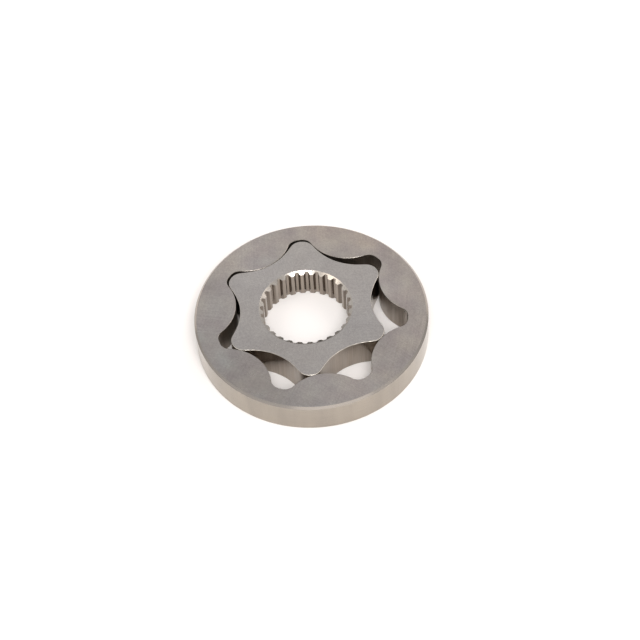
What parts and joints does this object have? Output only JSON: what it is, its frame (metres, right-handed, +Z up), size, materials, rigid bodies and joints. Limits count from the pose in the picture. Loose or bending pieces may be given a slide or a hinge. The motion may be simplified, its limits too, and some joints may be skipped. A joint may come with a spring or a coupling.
{
  "type": "oil pump rotor set",
  "caption": "Gerotor pair for an engine oil pump: a toothed outer ring round a lobed inner rotor with a splined drive bore and flat ground faces.",
  "frame": {"origin": "centre of the outer rotor's rim, at its lower face", "axes": "+Z up along both rotors' axes; +X from the outer rotor's axis to the inner rotor's axis, where the mesh is deepest"},
  "size_m": [0.0762, 0.0762, 0.0106],
  "materials": {
    "ring_steel": "sintered steel, ground faces, satin rim",
    "rotor_steel": "sintered steel, ground faces, broached bore"
  },
  "bodies": {
    "outer_rotor": {"outer_rotor": "ring_steel"},
    "inner_rotor": {"inner_rotor": "rotor_steel"}
  },
  "joints": [
    {"name": "lift_out", "type": "slide", "parent": "outer_rotor", "child": "inner_rotor", "axis": [0, 0, 1], "range_m": [0, 0.0106]}
  ]
}
